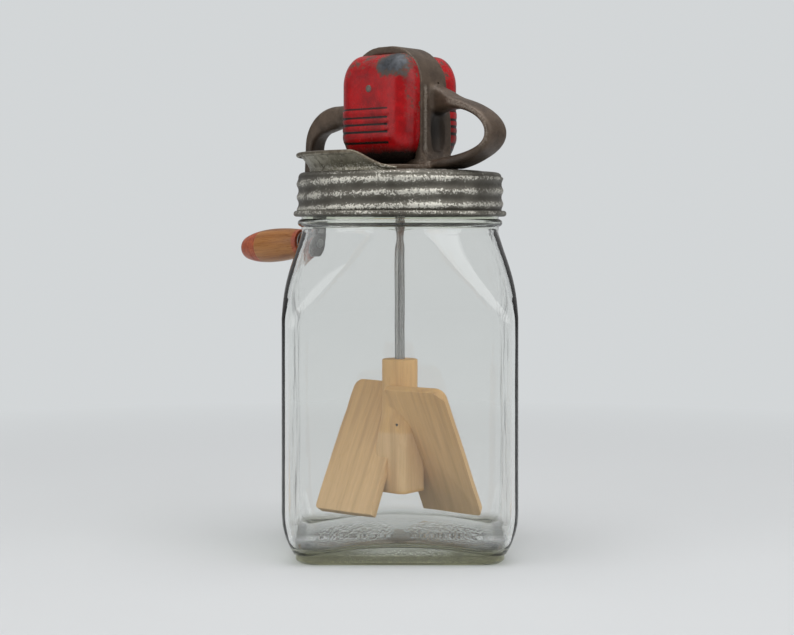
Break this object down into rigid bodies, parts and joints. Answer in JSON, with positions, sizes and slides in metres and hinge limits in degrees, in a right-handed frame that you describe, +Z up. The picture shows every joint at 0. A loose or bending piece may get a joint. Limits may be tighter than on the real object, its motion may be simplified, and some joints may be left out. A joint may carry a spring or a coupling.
{
  "type": "jar butter churn",
  "caption": "Square glass jar with a screw lid that carries a geared hand crank, which spins a wooden paddle dasher inside the jar to churn butter.",
  "frame": {"origin": "centre of the jar's base, on the surface that it stands on", "axes": "+Z up along the dasher rod; the jar's faces are square to X and Y; the camera of the picture looks along +Y; the head is turned 40 degrees about Z"},
  "size_m": [0.1847, 0.1681, 0.3249],
  "materials": {
    "glass": "clear, faintly green",
    "gasket_rubber": "matt",
    "dull_tin": "tarnished",
    "bright_tin": "worn tin",
    "dark_casting": "brown patina",
    "red_paint": "worn gloss",
    "bare_steel": "dull",
    "bush_brass": "dull",
    "pale_wood": "bare, scrubbed",
    "grip_wood": "worn lacquer, red ends"
  },
  "bodies": {
    "jar": {"jar": "glass"},
    "lid": {"lid_gasket": "gasket_rubber", "lid": "dull_tin", "strainer_screen": "bright_tin", "spout": "bright_tin", "frame": "dark_casting", "frame_rivets": "dark_casting", "front_cover": "red_paint", "back_cover": "red_paint", "cover_rivet": "bare_steel", "crank_bush_left": "bush_brass", "crank_bush_right": "bush_brass", "rod_bush": "bush_brass", "thrust_washer": "bare_steel"},
    "crank": {"crank_shaft": "bare_steel", "drive_gear": "dark_casting", "gear_pin": "bare_steel", "shaft_collar": "bare_steel", "collar_pin": "bare_steel", "crank_arm": "dark_casting", "arm_pin": "bare_steel", "grip_pin": "bare_steel", "grip_washer": "bare_steel"},
    "grip": {"crank_grip": "grip_wood"},
    "dasher": {"dasher_rod": "bare_steel", "pinion": "dark_casting", "pinion_pin": "bare_steel", "rod_collar": "bare_steel", "rod_collar_pin": "bare_steel", "dasher_hub": "pale_wood", "hub_pin": "bare_steel", "paddle_right": "pale_wood", "paddle_left": "pale_wood", "paddle_nails": "bare_steel"}
  },
  "joints": [
    {"name": "lid_lift", "type": "slide", "parent": "jar", "child": "lid", "axis": [0, 0, 1], "range_m": [0, 0.24]},
    {"name": "crank_turn", "type": "hinge", "parent": "lid", "child": "crank", "pos_m": [0, 0, 0.282], "axis": [-0.766, 0.6428, 0], "continuous": true},
    {"name": "grip_spin", "type": "hinge", "parent": "crank", "child": "grip", "pos_m": [-0.06282, 0.05271, 0.1982], "axis": [-0.7637, 0.6408, -0.0785], "continuous": true},
    {"name": "dasher_spin", "type": "hinge", "parent": "lid", "child": "dasher", "pos_m": [0, 0, 0.1], "axis": [0, 0, 1], "continuous": true}
  ],
  "couplings": [
    {"joint": "dasher_spin", "follows": "crank_turn", "ratio": 4}
  ]
}
